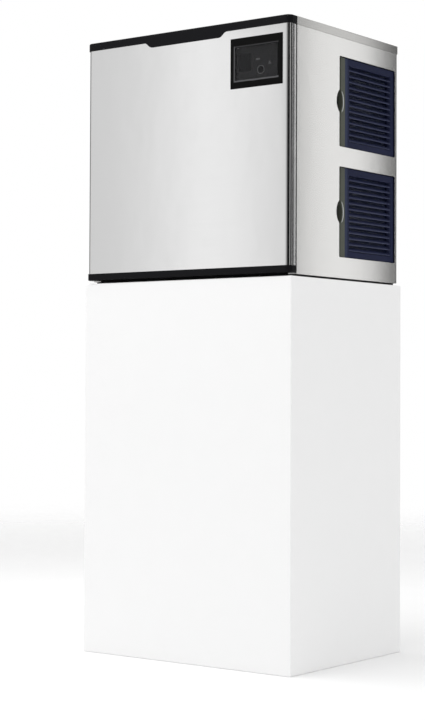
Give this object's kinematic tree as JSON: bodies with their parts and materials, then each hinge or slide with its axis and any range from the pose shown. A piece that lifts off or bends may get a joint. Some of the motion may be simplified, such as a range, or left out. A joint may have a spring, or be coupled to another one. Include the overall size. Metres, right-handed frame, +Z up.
{
  "type": "modular ice maker head",
  "caption": "Boxy stainless ice maker head: black trims, tilting front, flap over the controls, louvred side filters, full ice and cooling works inside.",
  "frame": {"origin": "under the middle of the box round the whole head, on the plane that the base gasket stands on", "axes": "+X to the right as seen from the front, +Y to the back, +Z up"},
  "size_m": [0.762, 0.618, 0.75],
  "materials": {
    "brushed_steel_skin": "vertical brushed",
    "galvanised": "galvanised",
    "black_plastic": "satin moulded",
    "dark_glass": "smoked",
    "display": "gloss",
    "blue_plastic": "satin moulded",
    "black_rubber": "matte",
    "white_plastic": "satin",
    "grey_plastic": "satin",
    "clear_plastic": "translucent",
    "nickel": "satin nickel plate",
    "copper": "bright drawn copper",
    "brass": "machined",
    "aluminium": "mill",
    "black_paint": "gloss",
    "green_board": "solder mask"
  },
  "bodies": {
    "cabinet": {"base_gasket": "black_rubber", "base_pan": "black_plastic", "bulkhead": "white_plastic", "cable_gland": "black_plastic", "compressor": "black_paint", "condenser_coil": "aluminium", "control_box": "galvanised", "control_box_lid": "galvanised", "discharge_line": "copper", "drain_fitting": "white_plastic", "dump_valve": "grey_plastic", "evaporator_frame": "white_plastic", "evaporator_grid": "nickel", "evaporator_tube": "copper", "expansion_valve": "brass", "fan_motor": "black_paint", "fan_shroud": "galvanised", "fill_spout": "clear_plastic", "filter_drier": "copper", "filter_guide": "black_plastic", "hot_gas_valve": "brass", "inlet_valve": "brass", "left_front_post": "galvanised", "left_side_panel": "brushed_steel_skin", "level_switch": "grey_plastic", "liquid_line": "copper", "pump_hose": "clear_plastic", "rear_panel": "brushed_steel_skin", "right_front_post": "galvanised", "right_side_panel": "brushed_steel_skin", "side_partition": "white_plastic", "suction_line": "copper", "terminal_cover": "black_plastic", "top_cover": "brushed_steel_skin", "top_rail": "galvanised", "water_distributor": "white_plastic", "water_pump": "black_plastic", "water_trough": "white_plastic"},
    "front_door": {"front_panel": "brushed_steel_skin", "top_trim": "black_plastic", "bottom_trim": "black_plastic", "door_liner": "white_plastic", "door_gasket": "black_rubber", "control_bezel": "black_plastic", "control_fascia": "black_plastic", "lcd_module": "display", "display_board": "green_board"},
    "control_flap_body": {"control_flap": "dark_glass"},
    "power_button_body": {"power_button": "grey_plastic"},
    "up_button_body": {"up_button": "grey_plastic"},
    "menu_button_body": {"menu_button": "grey_plastic"},
    "upper_filter_body": {"upper_filter": "blue_plastic"},
    "lower_filter_body": {"lower_filter": "blue_plastic"},
    "water_curtain_body": {"water_curtain": "clear_plastic"},
    "fan_blade_body": {"fan_blade": "aluminium"},
    "pump_impeller_body": {"pump_impeller": "grey_plastic"},
    "level_float_body": {"level_float": "black_rubber"},
    "ice_probe_body": {"ice_probe": "grey_plastic"}
  },
  "joints": [
    {"name": "front_panel_tilt", "type": "hinge", "parent": "cabinet", "child": "front_door", "pos_m": [0, -0.3005, 0.0148], "axis": [1, 0, 0], "range_deg": [0, 20]},
    {"name": "control_flap_lift", "type": "hinge", "parent": "front_door", "child": "control_flap_body", "pos_m": [0.262, -0.3056, 0.6705], "axis": [-1, 0, 0], "range_deg": [0, 90]},
    {"name": "power_button_press", "type": "slide", "parent": "front_door", "child": "power_button_body", "axis": [0, 1, 0], "range_m": [0, 0.0015], "stiffness_N_per_m": 600},
    {"name": "up_button_press", "type": "slide", "parent": "front_door", "child": "up_button_body", "axis": [0, 1, 0], "range_m": [0, 0.0015], "stiffness_N_per_m": 600},
    {"name": "menu_button_press", "type": "slide", "parent": "front_door", "child": "menu_button_body", "axis": [0, 1, 0], "range_m": [0, 0.0015], "stiffness_N_per_m": 600},
    {"name": "upper_filter_swing", "type": "hinge", "parent": "cabinet", "child": "upper_filter_body", "pos_m": [0.3742, 0.2758, 0.5344], "axis": [0, 0, 1], "range_deg": [0, 30]},
    {"name": "lower_filter_swing", "type": "hinge", "parent": "cabinet", "child": "lower_filter_body", "pos_m": [0.3742, 0.2758, 0.2041], "axis": [0, 0, 1], "range_deg": [0, 30]},
    {"name": "water_curtain_swing", "type": "hinge", "parent": "cabinet", "child": "water_curtain_body", "pos_m": [0, -0.144, 0.6492], "axis": [-1, 0, 0], "range_deg": [0, 16]},
    {"name": "fan_spin", "type": "hinge", "parent": "cabinet", "child": "fan_blade_body", "pos_m": [0.2413, 0.11865, 0.36825], "axis": [1, 0, 0], "continuous": true},
    {"name": "pump_spin", "type": "hinge", "parent": "cabinet", "child": "pump_impeller_body", "pos_m": [0.087, -0.10065, 0.1593], "axis": [0, 0, 1], "continuous": true},
    {"name": "level_float_rise", "type": "slide", "parent": "cabinet", "child": "level_float_body", "axis": [0, 0, 1], "range_m": [0, 0.028]},
    {"name": "ice_probe_swing", "type": "hinge", "parent": "cabinet", "child": "ice_probe_body", "pos_m": [-0.25, -0.127, 0.6342], "axis": [-1, 0, 0], "range_deg": [0, 6]}
  ]
}
